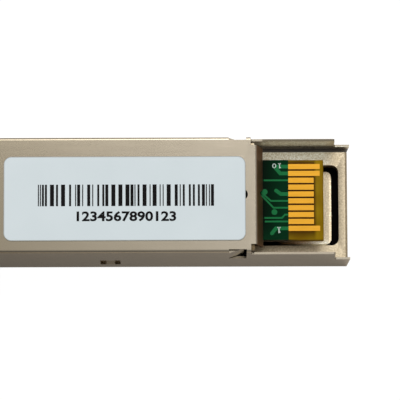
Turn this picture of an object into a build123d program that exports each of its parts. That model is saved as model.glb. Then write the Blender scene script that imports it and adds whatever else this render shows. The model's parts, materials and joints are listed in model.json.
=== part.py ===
from build123d import *
import math
import os

os.makedirs("parts", exist_ok=True)

# Optical transceiver of the small pluggable size, in millimetres.
# +X points to the card edge, +Z to the label side, and the smooth roof face rests on z = 0.
# X runs along the middle of the cast base; the sheet cover sits a little off it.

# Stations along X, chained from the front end to the card edge
nose_out = 9.0              # front length that stays outside a cage
stop_to_latch = 2.5         # positive stop to the latch shoulder
latch_to_rear = 45.0        # latch shoulder to the rear end of the cover
overall_length = nose_out + stop_to_latch + latch_to_rear
front_x = -overall_length / 2
stop_x = front_x + nose_out
latch_x = stop_x + stop_to_latch
rear_x = latch_x + latch_to_rear
latch_to_opening = 34.35    # latch shoulder to the end of the cover's face
opening_x = latch_x + latch_to_opening
latch_to_board_end = 41.95
board_end_x = latch_x + latch_to_board_end

# Widths from the inside out: two optical cans side by side, the tray round them, the cover round that
port_pitch = 6.25
header_radius = 2.35
chamber_play = 0.125
side_wall = 0.625
core_play = 0.225           # between tray and cover on each side, if the cover were centred
sheet = 0.25
inner_half = port_pitch / 2 + header_radius + chamber_play
core_half = inner_half + side_wall
cover_width = 2 * (core_half + core_play + sheet)
nose_extra = 0.3
nose_width = cover_width + nose_extra

# Sheet cover
cover_height = 8.5
nose_rise = 0.1
nose_height = cover_height + nose_rise
bend_radius = 0.35          # outside of the two long bends
cover_foot = 0.1            # free lower edge of the side walls above the roof plane
latch_to_cover = 4.55
cover_front = latch_x + latch_to_cover
wall_drop = 1.3             # side wall edge beside the opening, below the face
step_drop = 4.3             # lower side wall edge at the rear end
step_length = 1.75
step_corner = 0.23
rear_lean = 0.3             # the side walls' rear edges lean forward towards the roof side
flange_width = 11.5
flange_reach = 0.7          # how far the rear flange leans outwards
flange_drop = 2.05
flange_bend = 0.35
relief_length = 0.7         # slots at the flange's corners
notch_width = 1.55          # V notch in the flange's free edge
notch_depth = 1.0
notch_side = 0.4            # the notch lies this far from the middle of the face
window_length = 2.0         # snap windows through the bends
window_to_opening = 1.2
window_inset = 0.35
window_drop = 3.55
snap_low = 3.25             # snap tongue between these depths below the face
snap_high = 0.55
snap_length = 1.75
snap_angle = 18.0
bridge_length = 2.3         # lanced bridges low on the side walls
bridge_strip = 0.97
bridge_bottom = 1.7
bridge_top = 3.9
bridge_press = 0.32
bridge_to_opening = 16.73
gauge_hole_radius = 0.65
gauge_hole_to_opening = 1.7

# Fit between cover and base: the cover leans on the base's -Y wall
seat_gap = 0.035
cover_mid = core_play - seat_gap
cover_low = cover_mid - cover_width / 2
cover_high = cover_mid + cover_width / 2
face_clearance = 0.05
core_top = cover_height - sheet - face_clearance

# Cast base
nose_corner = 0.5
floor_wall = 0.8
ledge_width = 1.0
end_wall = 0.8
end_wall_gap = 0.3          # from the end wall to the cover's opening
base_setback = 0.25         # the cover reaches past the base at the rear
rear_wall = 1.0
board_depth = 2.25          # board's label side below the cover's face
board_thickness = 1.0
shoulder_depth = 2.0        # rear deck below the board
pocket_play = 0.05          # between the board's edges and the slot that it passes
pocket_corner = 0.85
trench_rear = 0.8
trench_side = 0.45
plateau_height = 0.95
cast_edge = 0.25
board_top = cover_height - board_depth
board_bottom = board_top - board_thickness
deck_z = board_bottom - shoulder_depth
base_end = rear_x - base_setback
core_end_x = opening_x - end_wall_gap

# Circuit board, its skins and contacts
board_play = 0.15
board_inner_width = 2 * (inner_half - board_play)
chamber_length = 8.0        # room for the optics ahead of the board
board_neck_gap = 0.1
mask_thickness = 0.03
mask_inset = 0.15
pad_pitch = 0.8
pad_width = 0.6
pad_count = 10
board_margin = 1.3          # board width beyond the row of contacts
board_width = pad_count * pad_pitch + board_margin
pocket_half = board_width / 2 + pocket_play
pad_thickness = 0.04
pad_row_shift = 0.28
pad_start_to_end = 4.0      # from the pads' inner ends to the board's end
ground_pad_gap = 0.4        # from the long pads to the board's end
signal_pad_gap = 1.1
power_pad_gap = 0.7
trace_height = 0.045

# Optical subassemblies
port_height = 4.65          # square bay of one plug
bay_wall = 0.55             # between a bay and the ear of the slide beside it
port_top_wall = 0.45        # from the bay to the slide's bed
latch_bay_width = 3.4
latch_bay_floor = 1.5       # wall between the plugs' latch room and the roof face
bay_web = 0.8
nozzle_reach = 4.2          # nozzle length inside the bay
nozzle_radius = 1.475
bore_radius = 0.625
sleeve_radius = 0.85
sleeve_length = 5.0
barrel_radius = 2.4         # flange that seats in the base
tail_step = 0.2
neck_step = 0.5
tail_radius = barrel_radius - tail_step     # rear part, held by the yoke
neck_radius = barrel_radius - neck_step
flange_length = 1.0
neck_length = 1.2
barrel_length = 3.8
cap_radius = 2.1
cap_length = 2.2
header_length = 1.1
lead_side = 0.36            # coined square leads
lead_circle = 1.27
lead_length = 0.64
optics_fit = 0.05
flex_thickness = 0.12
flex_width = 3.4
flex_overhang = 0.6         # flexible lead past the can's leads, and onto the board
flex_solder = 2.0           # length that lies on the board
flex_crest = 0.8            # height of its bow above the board
flex_reach = 1.5            # flat top of the bow
holder_length = 1.2
holder_notch = 0.7

# Chips and small parts; those on the label side are placed from the driver chip's middle
chip_height = 0.9
driver_x = 5.0
driver_side = 4.0
pad_compound = 0.5          # thermal pad thickness
pad_compound_corner = 0.3
amplifier_from_driver = -3.4
amplifier_y = -2.4
amplifier_side = 3.0
controller_from_driver = 4.6
controller_y = 0.6
controller_side = 5.0
memory_from_driver = 9.0
memory_y = -2.2
memory_side = 2.6
gull_count = 4              # leads on each side of the memory chip
gull_pitch = 0.65
gull_sheet = 0.12
chip_part = 1.0             # length of the small capacitors and resistors
chip_part_width = 0.5
capacitor_height = 0.5
resistor_height = 0.35
bead_length = 1.6
bead_width = 0.8
row_y = 3.0                 # capacitor rows beside the driver, on both sides
row_shift = 0.2
column_pitch = 1.6
row_pitch = 1.1
resistor_y = 2.3
resistor_column_pitch = 1.5
resistor_row_pitch = 1.0
beads_from_driver = -4.2
bead_y = 2.2
bead_column_pitch = 2.2
bead_row_pitch = 1.4

# Bail, slide and latch
boss_width = 2.6
boss_length = 2.6
boss_height = 0.45
boss_crown = 0.8
slide_cavity = 6.3
slide_sheet = 0.4
slide_play = 0.05
stop_flange = 1.45
stop_cover = 0.05           # the stop flange stands this far past the bail's arms
nose_setback = 1.25         # the nose ends behind the bail's grip
arm_sheet = 0.55
ear_play = 0.1
ear_sheet = 0.4
pivot_back = 3.65           # pivot behind the very front
pivot_below = 3.0           # pivot below the nose's label side
pivot_radius = 0.45
pivot_boss = 0.75
pivot_head = 0.85
pivot_head_height = 0.3
bail_swing = 75.0
cam_radius = 1.6
cam_pin = 0.4
running = 0.05              # play of parts that turn or slide on each other
grip_depth = 1.1
grip_height = 1.4
grip_half = 5.6
grip_lift = 0.05

bed_z = nose_height - slide_sheet - 2 * slide_play
osa_z = bed_z - port_top_wall - port_height / 2
bay_floor = osa_z - port_height / 2
nose_front = front_x + nose_setback
pivot_x = front_x + pivot_back
pivot_z = nose_height - pivot_below
front_half = port_pitch / 2 + port_height / 2 + bay_wall
ear_face = front_half + ear_play + ear_sheet + ear_play
arm_in = ear_face + running
arm_out = arm_in + arm_sheet
stop_half = arm_out + stop_cover
slide_travel = 2 * cam_radius * math.sin(math.radians(bail_swing / 2))


def limits(a0, a1, b0, b1, corner=0.0, mode=Mode.ADD):
    """Rectangle of the current sketch between two limits along each direction."""
    with Locations(((a0 + a1) / 2, (b0 + b1) / 2)):
        if corner > 0:
            RectangleRounded(a1 - a0, b1 - b0, corner, mode=mode)
        else:
            Rectangle(a1 - a0, b1 - b0, mode=mode)


def save(piece, name):
    """Names a finished piece and writes its file."""
    piece.part.label = name
    export_step(piece.part, f"parts/{name}.step")


# Sheet cover: one blank folded to a U, with the rear flange folded down at the opening.
window_end = opening_x - window_to_opening
window_start = window_end - window_length
bridge_x = opening_x - bridge_to_opening
with BuildPart() as shell_cover:
    with BuildSketch(Plane.YZ.offset(cover_front)):
        with BuildLine():
            FilletPolyline(
                (cover_low, cover_foot), (cover_low, cover_height),
                (cover_high, cover_height), (cover_high, cover_foot),
                radius=bend_radius)
            Line((cover_high, cover_foot), (cover_high - sheet, cover_foot))
            FilletPolyline(
                (cover_high - sheet, cover_foot), (cover_high - sheet, cover_height - sheet),
                (cover_low + sheet, cover_height - sheet), (cover_low + sheet, cover_foot),
                radius=bend_radius - sheet)
            Line((cover_low + sheet, cover_foot), (cover_low, cover_foot))
        make_face()
    extrude(amount=rear_x - cover_front)

    # The opening, cut down the side walls in two steps with rounded corners
    step_x = rear_x - step_length
    with BuildSketch(Plane.XZ):
        with BuildLine():
            FilletPolyline(
                (opening_x - relief_length, cover_height + 1),
                (opening_x - relief_length, cover_height - wall_drop),
                (step_x, cover_height - wall_drop),
                (step_x, cover_height - step_drop),
                (rear_x + 1, cover_height - step_drop),
                (rear_x + 1, cover_height + 1),
                radius=step_corner, close=True)
        make_face()
    extrude(amount=cover_width, both=True, mode=Mode.SUBTRACT)

    with BuildSketch(Plane.XZ):
        with BuildLine():
            Polyline((rear_x, cover_height - step_drop), (rear_x + 1, cover_foot),
                     (rear_x - rear_lean, cover_foot), close=True)
        make_face()
    extrude(amount=cover_width, both=True, mode=Mode.SUBTRACT)

    # Rear flange: face, bend and sloping lip in one strip
    lip_centre = cover_height - sheet / 2
    with BuildSketch(Plane.XZ.offset(-(cover_mid + flange_width / 2))):
        with BuildLine():
            FilletPolyline(
                (opening_x - 2 * relief_length, lip_centre),
                (opening_x - sheet / 2, lip_centre),
                (opening_x - sheet / 2 + flange_reach, cover_height - flange_drop),
                radius=flange_bend - sheet / 2)
        trace(line_width=sheet)
    extrude(amount=flange_width)
    with BuildSketch(Plane.YZ.offset(opening_x)):
        lip_edge = cover_height - flange_drop
        notch_y = cover_mid + notch_side
        with BuildLine():
            Polyline(
                (notch_y - notch_width / 2, lip_edge - sheet),
                (notch_y, lip_edge + notch_depth),
                (notch_y + notch_width / 2, lip_edge - sheet),
                close=True)
        make_face()
    extrude(amount=flange_reach + sheet, mode=Mode.SUBTRACT)

    # Gauge hole in the face, mostly under the label
    with Locations(Plane.XY.offset(cover_height)):
        with Locations((opening_x - gauge_hole_to_opening, cover_mid)):
            Hole(gauge_hole_radius, depth=2 * sheet)

    # Snap windows with their tongues, and lanced bridges, on both side walls
    for outer, inward in ((cover_low, 1), (cover_high, -1)):
        wall_mid = outer + inward * sheet / 2
        inner_edge = outer + inward * window_inset
        with BuildSketch(Plane.XY.offset(cover_height - window_drop)):
            limits(window_start, window_end,
                   min(outer - inward * sheet, inner_edge), max(outer - inward * sheet, inner_edge))
        extrude(amount=window_drop + sheet, mode=Mode.SUBTRACT)
        tongue_x = window_start + snap_length * math.cos(math.radians(snap_angle))
        tongue_y = wall_mid + inward * snap_length * math.sin(math.radians(snap_angle))
        with BuildSketch(Plane.XY.offset(cover_height - snap_low)):
            with BuildLine():
                Polyline((window_start - sheet, wall_mid), (window_start, wall_mid),
                         (tongue_x, tongue_y))
            trace(line_width=sheet)
        extrude(amount=snap_low - snap_high)

        with BuildSketch(Plane.XZ.offset(-wall_mid)):
            limits(bridge_x - bridge_length / 2, bridge_x + bridge_length / 2,
                   bridge_bottom, bridge_top)
        extrude(amount=sheet, both=True, mode=Mode.SUBTRACT)
        pressed = wall_mid + inward * bridge_press
        with BuildSketch(Plane.YZ.offset(bridge_x - bridge_strip / 2)):
            with BuildLine():
                Polyline(
                    (wall_mid, bridge_bottom - sheet), (wall_mid, bridge_bottom),
                    (pressed, bridge_bottom + 2 * bridge_press),
                    (pressed, bridge_top - 2 * bridge_press),
                    (wall_mid, bridge_top), (wall_mid, bridge_top + sheet))
            trace(line_width=sheet)
        extrude(amount=bridge_strip)
save(shell_cover, "shell_cover")


# Cast base: a tray with the rear deck and pocket, and the nose with two plug bays.
stop_front = stop_x - stop_flange
bay_back = latch_x - 0.45
osa_seat = bay_back + bay_web
port_ys = (port_pitch / 2, -port_pitch / 2)
chamber_front = cover_front
board_front = cover_front + chamber_length
ledge_half = inner_half - ledge_width
slide_half = slide_cavity / 2
cavity_end = latch_x + boss_length + 0.25
lip_groove = 0.4
groove_end = cavity_end - 3.3
mask_end = board_end_x - pad_start_to_end
heat_boss_top = board_bottom - mask_thickness - chip_height - pad_compound
collar_front = stop_x + 0.35
collar_length = 4.3
collar_sheet = 0.12
collar_recess = 0.2
collar_top = nose_height - 1.0
with BuildPart() as base_housing:
    with BuildSketch(Plane.XZ):
        with BuildLine():
            Polyline(
                (cover_front, 0), (base_end, 0), (base_end, deck_z), (core_end_x, deck_z),
                (core_end_x, core_top), (cover_front, core_top), close=True)
        make_face()
    extrude(amount=core_half, both=True)
    rear_edges = base_housing.edges().filter_by(Axis.Y).group_by(Axis.X)[-1]
    chamfer(rear_edges, cast_edge)

    # Nose: inside the cage, the stop flange, and the part that carries the bail
    with BuildSketch(Plane.YZ.offset(stop_x)):
        limits(-nose_width / 2, nose_width / 2, 0, nose_height, nose_corner)
    extrude(amount=cover_front - stop_x)
    with BuildSketch(Plane.YZ.offset(stop_front)):
        limits(-stop_half, stop_half, 0, nose_height, nose_corner)
    extrude(amount=stop_x - stop_front)
    with BuildSketch(Plane.YZ.offset(nose_front)):
        limits(-front_half, front_half, 0, bed_z, nose_corner)
    extrude(amount=stop_front - nose_front)
    chamfer(base_housing.faces().sort_by(Axis.X)[0].outer_wire().edges(), cast_edge)
    for side in (1, -1):
        with BuildSketch(Plane.XZ.offset(-side * (front_half - cast_edge))):
            with Locations((pivot_x, pivot_z)):
                Circle(pivot_boss)
        extrude(amount=-side * (cast_edge + ear_play + ear_sheet + ear_play))
    pin_root = front_half - 0.4
    for side in (1, -1):
        with BuildSketch(Plane.XZ.offset(-side * pin_root)):
            with Locations((pivot_x, pivot_z)):
                Circle(pivot_radius + 0.02)
        extrude(amount=-side * (ear_face - pin_root), mode=Mode.SUBTRACT)

    # Plug bays with the room for the plugs' latch arms, nozzle holes and barrel seats
    for y in port_ys:
        with BuildSketch(Plane.YZ.offset(nose_front)):
            limits(y - port_height / 2, y + port_height / 2, bay_floor, bay_floor + port_height)
            limits(y - latch_bay_width / 2, y + latch_bay_width / 2,
                   latch_bay_floor, bay_floor)
        extrude(amount=bay_back - nose_front, mode=Mode.SUBTRACT)
        with BuildSketch(Plane.YZ.offset(bay_back)):
            with Locations((y, osa_z)):
                Circle(nozzle_radius + optics_fit / 2)
        extrude(amount=bay_web, mode=Mode.SUBTRACT)
        with BuildSketch(Plane.YZ.offset(osa_seat)):
            with Locations((y, osa_z)):
                Circle(barrel_radius + optics_fit)
        extrude(amount=cover_front - osa_seat, mode=Mode.SUBTRACT)

    # Bed of the release slide with its side grooves, and the latch boss in it
    with BuildSketch(Plane.XY.offset(bed_z)):
        limits(stop_front, cavity_end, -slide_half, slide_half)
    extrude(amount=nose_height - bed_z, mode=Mode.SUBTRACT)
    with BuildSketch(Plane.XY.offset(bed_z)):
        limits(stop_front, groove_end, -slide_half - lip_groove, slide_half + lip_groove)
    extrude(amount=slide_sheet / 2 + slide_play, mode=Mode.SUBTRACT)
    boss_top = nose_height + boss_height
    with BuildSketch(Plane.XZ):
        with BuildLine():
            Polyline(
                (latch_x, bed_z), (latch_x, boss_top), (latch_x + boss_crown, boss_top),
                (latch_x + boss_length, nose_height), (latch_x + boss_length, bed_z), close=True)
        make_face()
    extrude(amount=boss_width / 2, both=True)

    # Tray: optics chamber, board bay above its ledges, and the bay below the board
    with BuildSketch(Plane.XY.offset(floor_wall)):
        limits(chamber_front, board_front, -inner_half, inner_half)
    extrude(amount=core_top - floor_wall, mode=Mode.SUBTRACT)
    with BuildSketch(Plane.XY.offset(board_bottom)):
        limits(board_front, core_end_x - end_wall, -inner_half, inner_half)
        limits(core_end_x - end_wall, core_end_x, -pocket_half, pocket_half)
    extrude(amount=core_top - board_bottom, mode=Mode.SUBTRACT)
    with BuildSketch(Plane.XY.offset(floor_wall)):
        limits(board_front, core_end_x - end_wall, -ledge_half, ledge_half)
    extrude(amount=board_bottom - floor_wall, mode=Mode.SUBTRACT)
    with BuildSketch(Plane.XY.offset(floor_wall)):
        limits(driver_x - driver_side / 2, driver_x + driver_side / 2,
               -driver_side / 2, driver_side / 2)
    extrude(amount=heat_boss_top - floor_wall)

    # Rear pocket in the deck: a trench round a raised plateau
    pocket_end = base_end - rear_wall
    with BuildSketch(Plane.XY.offset(floor_wall)):
        limits(core_end_x, pocket_end, -pocket_half, pocket_half)
        fillet(vertices().group_by(Axis.X)[-1], pocket_corner)
    extrude(amount=deck_z - floor_wall, mode=Mode.SUBTRACT)
    with BuildSketch(Plane.XY.offset(floor_wall)):
        limits(core_end_x, pocket_end - trench_rear,
               -pocket_half + trench_side, pocket_half - trench_side)
        fillet(vertices().group_by(Axis.X)[-1], pocket_corner - trench_side / 2)
    extrude(amount=plateau_height)

    # Notches for the cover's snap tongues and dents for its bridges
    for side in (1, -1):
        notch_in, notch_out = sorted((side * inner_half, side * (core_half + 1)))
        with BuildSketch(Plane.XY.offset(cover_height - window_drop)):
            limits(window_start - sheet, window_end + sheet, notch_in, notch_out)
        extrude(amount=core_top, mode=Mode.SUBTRACT)
        with BuildSketch(Plane.XZ.offset(-side * core_half)):
            limits(bridge_x - bridge_length / 2, bridge_x + bridge_length / 2,
                   bridge_bottom - sheet, bridge_top + sheet)
        extrude(amount=side * 2 * bridge_press, mode=Mode.SUBTRACT)

    # Seat of the ground collar round the nose
    with BuildSketch(Plane.YZ.offset(collar_front)):
        limits(-nose_width, nose_width, -1, collar_top)
        limits(-nose_width / 2 + collar_recess, nose_width / 2 - collar_recess,
               collar_recess, collar_top, mode=Mode.SUBTRACT)
    extrude(amount=collar_length, mode=Mode.SUBTRACT)
save(base_housing, "base_housing")


# Ground collar: thin spring sheet round the sides and roof of the nose, with bowed fingers.
finger_count = 4
finger_width = 1.3
finger_pitch = 1.7
finger_bow = 0.3
collar_band = 0.8
with BuildPart() as ground_collar:
    collar_half = nose_width / 2 - collar_recess + collar_sheet + 0.02
    collar_low = collar_recess - collar_sheet - 0.02
    with BuildSketch(Plane.YZ.offset(collar_front + running)):
        limits(-collar_half, collar_half, collar_low, collar_top - running)
        limits(-collar_half + collar_sheet, collar_half - collar_sheet,
               collar_low + collar_sheet, collar_top, mode=Mode.SUBTRACT)
    extrude(amount=collar_band)
    finger_start = collar_front + running + collar_band / 2
    finger_end = collar_front + collar_length - running
    first_finger = (collar_low + collar_top) / 2 - (finger_count - 1) * finger_pitch / 2
    for side in (1, -1):
        root_y = side * (collar_half - collar_sheet / 2)
        for number in range(finger_count):
            level = first_finger + number * finger_pitch - finger_width / 2
            with BuildSketch(Plane.XY.offset(level)):
                with BuildLine():
                    ThreePointArc(
                        (finger_start, root_y),
                        ((finger_start + finger_end) / 2, root_y + side * finger_bow),
                        (finger_end, root_y))
                trace(line_width=collar_sheet)
            extrude(amount=finger_width)
save(ground_collar, "ground_collar")


# Paper label on the cover's face, covering most of the gauge hole
label_width = 9.77
label_thickness = 0.1
label_corner = 0.9
label_to_opening = 1.3
label_side = -0.465         # middle of the label from the middle of the face
label_front_gap = 1.0
with BuildPart() as label:
    with BuildSketch(Plane.XY.offset(cover_height)):
        limits(cover_front + label_front_gap, opening_x - label_to_opening,
               cover_mid + label_side - label_width / 2, cover_mid + label_side + label_width / 2,
               label_corner)
    extrude(amount=label_thickness)
save(label, "label")


# Circuit board: wide inside the tray, stepped in to the card edge at the rear
neck_x = core_end_x - end_wall - board_neck_gap
edge_bevel = 0.3
with BuildPart() as circuit_board:
    with BuildSketch(Plane.XY.offset(board_bottom)):
        limits(board_front, neck_x, -board_inner_width / 2, board_inner_width / 2)
        limits(neck_x, board_end_x, -board_width / 2, board_width / 2)
    extrude(amount=board_thickness)
    rear_edges = circuit_board.edges().filter_by(Axis.Y).group_by(Axis.X)[-1]
    chamfer(rear_edges, edge_bevel / 2)
save(circuit_board, "circuit_board")


def pad_y(number):
    """Middle of a contact, counted from the -Y side."""
    return pad_row_shift + (number - (pad_count - 1) / 2) * pad_pitch


def contact_row(level, thickness, gaps):
    """One row of contacts; gaps gives how far each ends before the board's end."""
    with BuildPart() as row:
        with BuildSketch(Plane.XY.offset(level)):
            for number, gap in enumerate(gaps):
                limits(board_end_x - pad_start_to_end, board_end_x - gap,
                       pad_y(number) - pad_width / 2, pad_y(number) + pad_width / 2)
        extrude(amount=thickness)
    return row


# Contacts 1 to 10 on the label side and 20 to 11 on the roof side; ground contacts mate first
label_side_gaps = [signal_pad_gap] * pad_count
for ground in (0, 8, 9):
    label_side_gaps[ground] = ground_pad_gap
roof_side_gaps = [signal_pad_gap] * pad_count
for ground in (0, 3, 6, 9):
    roof_side_gaps[ground] = ground_pad_gap
for supply in (4, 5):
    roof_side_gaps[supply] = power_pad_gap
save(contact_row(board_top, pad_thickness, label_side_gaps), "contact_pads_label_side")
save(contact_row(board_bottom, -pad_thickness, roof_side_gaps), "contact_pads_roof_side")

# Conductors under the mask, each led inwards from its contact; offsets are from the contact
pad_inner = board_end_x - pad_start_to_end
wide = 0.42
fine = 0.2
via_radius = 0.33
routes = {
    9: (wide, ((0, 0), (-1.3, 0))),
    8: (wide, ((0, 0), (-0.9, 0), (-1.45, 0.65))),
    7: (fine, ((0, 0), (-2.8, 0))),
    5: (wide, ((0, 0), (-0.85, 0), (-1.4, 0.4))),
    4: (fine, ((0, 0), (-2.0, 0), (-3.1, 1.0))),
    3: (fine, ((0, 0), (-1.7, 0), (-3.1, 1.5))),
    2: (fine, ((0, 0), (-0.4, 0), (-0.75, -0.38), (-2.75, -0.38))),
    1: (fine, ((0, 0), (-2.7, 0))),
    0: (wide, ((0, 0), (-1.45, 0), (-1.9, -0.58))),
}
vias = ((-2.7, 4.25), (-1.6, 1.9))
with BuildPart() as covered_traces:
    with BuildSketch(Plane.XY.offset(board_top)) as trace_plan:
        for number, (thickness, points) in routes.items():
            path = [(pad_inner + x, pad_y(number) + y) for x, y in points]
            with BuildLine():
                Polyline(*path)
            trace(line_width=thickness)
            if thickness == wide:
                with Locations(path[-1]):
                    Circle(thickness / 2)
        for along, up in vias:
            with Locations((pad_inner + along, pad_y(0) + up)):
                Circle(via_radius)
        limits(pad_inner, board_end_x, -board_width, board_width, mode=Mode.SUBTRACT)
    extrude(amount=trace_height)
save(covered_traces, "covered_traces")

# Solder mask skins; the label side one is open where conductors stand up in it
mask_front = board_front + mask_inset
with BuildPart() as solder_mask_label_side:
    with BuildSketch(Plane.XY.offset(board_top)):
        limits(mask_front, neck_x - mask_inset,
               -board_inner_width / 2 + mask_inset, board_inner_width / 2 - mask_inset)
        limits(neck_x - mask_inset, mask_end, -board_width / 2, board_width / 2)
        add(trace_plan.sketch_local, mode=Mode.SUBTRACT)
    extrude(amount=mask_thickness)
save(solder_mask_label_side, "solder_mask_label_side")
with BuildPart() as solder_mask_roof_side:
    with BuildSketch(Plane.XY.offset(board_bottom)):
        limits(mask_front, core_end_x - end_wall - mask_inset,
               -ledge_half + mask_inset, ledge_half - mask_inset)
    extrude(amount=-mask_thickness)
save(solder_mask_roof_side, "solder_mask_roof_side")


# Optical subassemblies: turned barrel with nozzle, ceramic sleeve, sealed can, flexible lead
barrel_rear = osa_seat + flange_length + neck_length + barrel_length
can_rear = barrel_rear + cap_length + header_length
nozzle_tip = bay_back - nozzle_reach
sleeve_end = nozzle_tip + sleeve_length
for name, y in (("transmitter", port_ys[0]), ("receiver", port_ys[1])):
    profile_plane = Plane(origin=(0, y, osa_z), x_dir=(1, 0, 0), z_dir=(0, -1, 0))
    axis = Axis((0, y, osa_z), (1, 0, 0))
    with BuildPart() as barrel:
        with BuildSketch(profile_plane):
            with BuildLine():
                Polyline(
                    (nozzle_tip, sleeve_radius), (nozzle_tip, nozzle_radius),
                    (osa_seat, nozzle_radius), (osa_seat, barrel_radius),
                    (osa_seat + flange_length, barrel_radius),
                    (osa_seat + flange_length, neck_radius),
                    (osa_seat + flange_length + neck_length, neck_radius),
                    (osa_seat + flange_length + neck_length, tail_radius),
                    (barrel_rear, tail_radius), (barrel_rear, 0),
                    (sleeve_end, 0), (sleeve_end, sleeve_radius), close=True)
            make_face()
        revolve(axis=axis)
        tip_edges = barrel.edges().filter_by(GeomType.CIRCLE).group_by(Axis.X)[0]
        chamfer(tip_edges.sort_by(SortBy.RADIUS)[-1], 0.1)
    save(barrel, f"{name}_barrel")

    with BuildPart() as sleeve:
        with BuildSketch(Plane.YZ.offset(nozzle_tip)):
            with Locations((y, osa_z)):
                Circle(sleeve_radius)
                Circle(bore_radius, mode=Mode.SUBTRACT)
        extrude(amount=sleeve_length)
    save(sleeve, f"{name}_sleeve")

    with BuildPart() as can:
        with BuildSketch(profile_plane):
            with BuildLine():
                Polyline(
                    (barrel_rear, 0), (barrel_rear, cap_radius),
                    (barrel_rear + cap_length, cap_radius),
                    (barrel_rear + cap_length, header_radius),
                    (can_rear, header_radius), (can_rear, 0), close=True)
            make_face()
        revolve(axis=axis)
        with BuildSketch(Plane.YZ.offset(can_rear)):
            with Locations((y, osa_z)):
                with PolarLocations(lead_circle, 4, start_angle=45):
                    Rectangle(lead_side, lead_side)
        extrude(amount=lead_length)
    save(can, f"{name}_can")

    flex_x = can_rear + lead_length + flex_thickness / 2
    flex_z = board_top + mask_thickness + flex_thickness / 2
    crest_z = flex_z + flex_crest
    flex_down = board_front + flex_overhang
    with BuildPart() as flex:
        with BuildSketch(Plane.XZ.offset(-(y + flex_width / 2))):
            with BuildLine():
                FilletPolyline(
                    (flex_x, osa_z - lead_circle - flex_overhang), (flex_x, crest_z),
                    (flex_x + flex_reach, crest_z), (flex_down, flex_z),
                    (flex_down + flex_solder, flex_z), radius=0.3)
            trace(line_width=flex_thickness)
        extrude(amount=flex_width)
    save(flex, f"{name}_flex")

# Optics holder: a moulded yoke that stands on the chamber floor round both barrels
holder_gap = 0.1
with BuildPart() as optics_holder:
    with BuildSketch(Plane.YZ.offset(chamber_front + holder_gap)):
        limits(-inner_half + optics_fit, inner_half - optics_fit, floor_wall, core_top - optics_fit)
        for y in port_ys:
            with Locations((y, osa_z)):
                Circle(tail_radius + optics_fit / 2, mode=Mode.SUBTRACT)
        limits(-holder_notch, holder_notch, floor_wall, floor_wall + holder_notch, mode=Mode.SUBTRACT)
    extrude(amount=holder_length)
save(optics_holder, "optics_holder")


def flat_chip(x, y, side, level, height, bevel=0.12):
    """Moulded chip package with its top edges drawn in."""
    with BuildPart() as chip:
        with BuildSketch(Plane.XY.offset(level)):
            limits(x - side / 2, x + side / 2, y - side / 2, y + side / 2)
        extrude(amount=height)
        far = chip.faces().sort_by(Axis.Z)[-1 if height > 0 else 0]
        chamfer(far.edges(), bevel)
    return chip


part_level = board_top + mask_thickness
roof_level = board_bottom - mask_thickness
driver = flat_chip(driver_x, 0, driver_side, roof_level, -chip_height)
save(driver, "driver_chip")
amplifier = flat_chip(driver_x + amplifier_from_driver, amplifier_y, amplifier_side,
                      part_level, chip_height)
save(amplifier, "amplifier_chip")
controller = flat_chip(driver_x + controller_from_driver, controller_y, controller_side,
                       part_level, chip_height)
save(controller, "controller_chip")

with BuildPart() as thermal_pad:
    with BuildSketch(Plane.XY.offset(heat_boss_top)):
        limits(driver_x - driver_side / 2, driver_x + driver_side / 2,
               -driver_side / 2, driver_side / 2, pad_compound_corner)
    extrude(amount=pad_compound)
save(thermal_pad, "thermal_pad")

# Memory chip with gull-wing leads down both sides
memory_x = driver_x + memory_from_driver
with BuildPart() as memory_chip:
    with BuildSketch(Plane.XY.offset(part_level + gull_sheet)):
        limits(memory_x - memory_side / 2, memory_x + memory_side / 2,
               memory_y - memory_side / 2, memory_y + memory_side / 2)
    extrude(amount=chip_height)
    for side in (1, -1):
        edge = memory_y + side * memory_side / 2
        shoulder_z = part_level + chip_height / 2
        foot_z = part_level + gull_sheet / 2
        for lead in range(gull_count):
            lead_x = memory_x + (lead - (gull_count - 1) / 2) * gull_pitch
            with BuildSketch(Plane.YZ.offset(lead_x - gull_sheet)):
                with BuildLine():
                    Polyline(
                        (edge - side * 0.2, shoulder_z), (edge + side * 0.25, shoulder_z),
                        (edge + side * 0.35, foot_z), (edge + side * 0.7, foot_z))
                trace(line_width=gull_sheet)
            extrude(amount=2 * gull_sheet)
save(memory_chip, "memory_chip")


def small_parts(name, centres, length, width, height):
    """Group of chip parts: a body between two slightly larger plated ends."""
    plated = length / 5
    with BuildPart() as group:
        with BuildSketch(Plane.XY.offset(part_level)):
            with Locations(*centres):
                Rectangle(length - 2 * plated, width * 0.9)
        extrude(amount=height * 0.9)
        with BuildSketch(Plane.XY.offset(part_level)):
            for x, y in centres:
                for end in (1, -1):
                    with Locations((x + end * (length - plated) / 2, y)):
                        Rectangle(plated, width)
        extrude(amount=height)
    save(group, name)


def grid(x, y, dx, dy, columns, rows):
    """Centres of a small grid round one point."""
    return [(x + (i - (columns - 1) / 2) * dx, y + (j - (rows - 1) / 2) * dy)
            for i in range(columns) for j in range(rows)]


capacitor_places = (
    grid(driver_x, row_y, column_pitch, row_pitch, 3, 2)
    + grid(driver_x + row_shift, -row_y, column_pitch, row_pitch, 2, 3))
resistor_places = grid(
    memory_x, resistor_y, resistor_column_pitch, resistor_row_pitch, 2, 4)
bead_places = grid(
    driver_x + beads_from_driver, bead_y, bead_column_pitch, bead_row_pitch, 2, 3)
small_parts("chip_capacitors", capacitor_places, chip_part, chip_part_width, capacitor_height)
small_parts("chip_resistors", resistor_places, chip_part, chip_part_width, resistor_height)
small_parts("ferrite_beads", bead_places, bead_length, bead_width, bead_width)


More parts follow.
